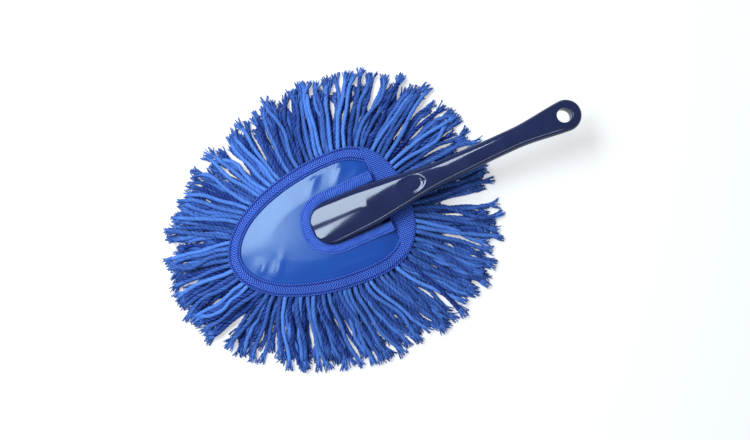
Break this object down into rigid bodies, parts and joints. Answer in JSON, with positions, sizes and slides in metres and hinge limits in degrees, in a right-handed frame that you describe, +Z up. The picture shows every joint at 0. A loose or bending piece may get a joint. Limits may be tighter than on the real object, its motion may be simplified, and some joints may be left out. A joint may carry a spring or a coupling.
{
  "type": "duster",
  "caption": "Hand duster with a detachable oval yarn mop head under a vinyl cover and a moulded hollow handle with thumb rest and hanging eye.",
  "frame": {"origin": "middle of the sewn head, on the flat underside of its centre row of yarn, which lies on the surface", "axes": "+X from the head's front towards the handle's hanging eye, +Z up from the surface that the duster lies on"},
  "size_m": [0.3742, 0.2502, 0.0489],
  "materials": {
    "navy_plastic": "polished moulded plastic, near-black navy",
    "blue_vinyl": "glossy coated vinyl sheet",
    "blue_tape": "woven twill tape",
    "blue_yarn": "twisted cotton yarn",
    "blue_thread": "sewing thread",
    "blue_canvas": "plain canvas",
    "navy_lining": "plain lining cloth",
    "grey_foam": "soft open-cell foam"
  },
  "bodies": {
    "mop_head": {"fringe_top_row": "blue_yarn", "fringe_middle_row": "blue_yarn", "fringe_lower_row": "blue_yarn", "fringe_centre_row": "blue_yarn", "base_cloth": "blue_canvas", "foam_pad": "grey_foam", "pocket_lining": "navy_lining", "rear_band": "blue_tape", "cover_sheet": "blue_vinyl", "perimeter_binding": "blue_tape", "opening_binding": "blue_tape", "binding_outer_stitching": "blue_thread", "binding_inner_stitching": "blue_thread", "opening_stitching": "blue_thread", "band_stitching": "blue_thread"},
    "handle": {"handle": "navy_plastic"}
  },
  "joints": [
    {"name": "handle_pull_out", "type": "slide", "parent": "mop_head", "child": "handle", "axis": [1, 0, 0], "range_m": [0, 0.15]}
  ]
}
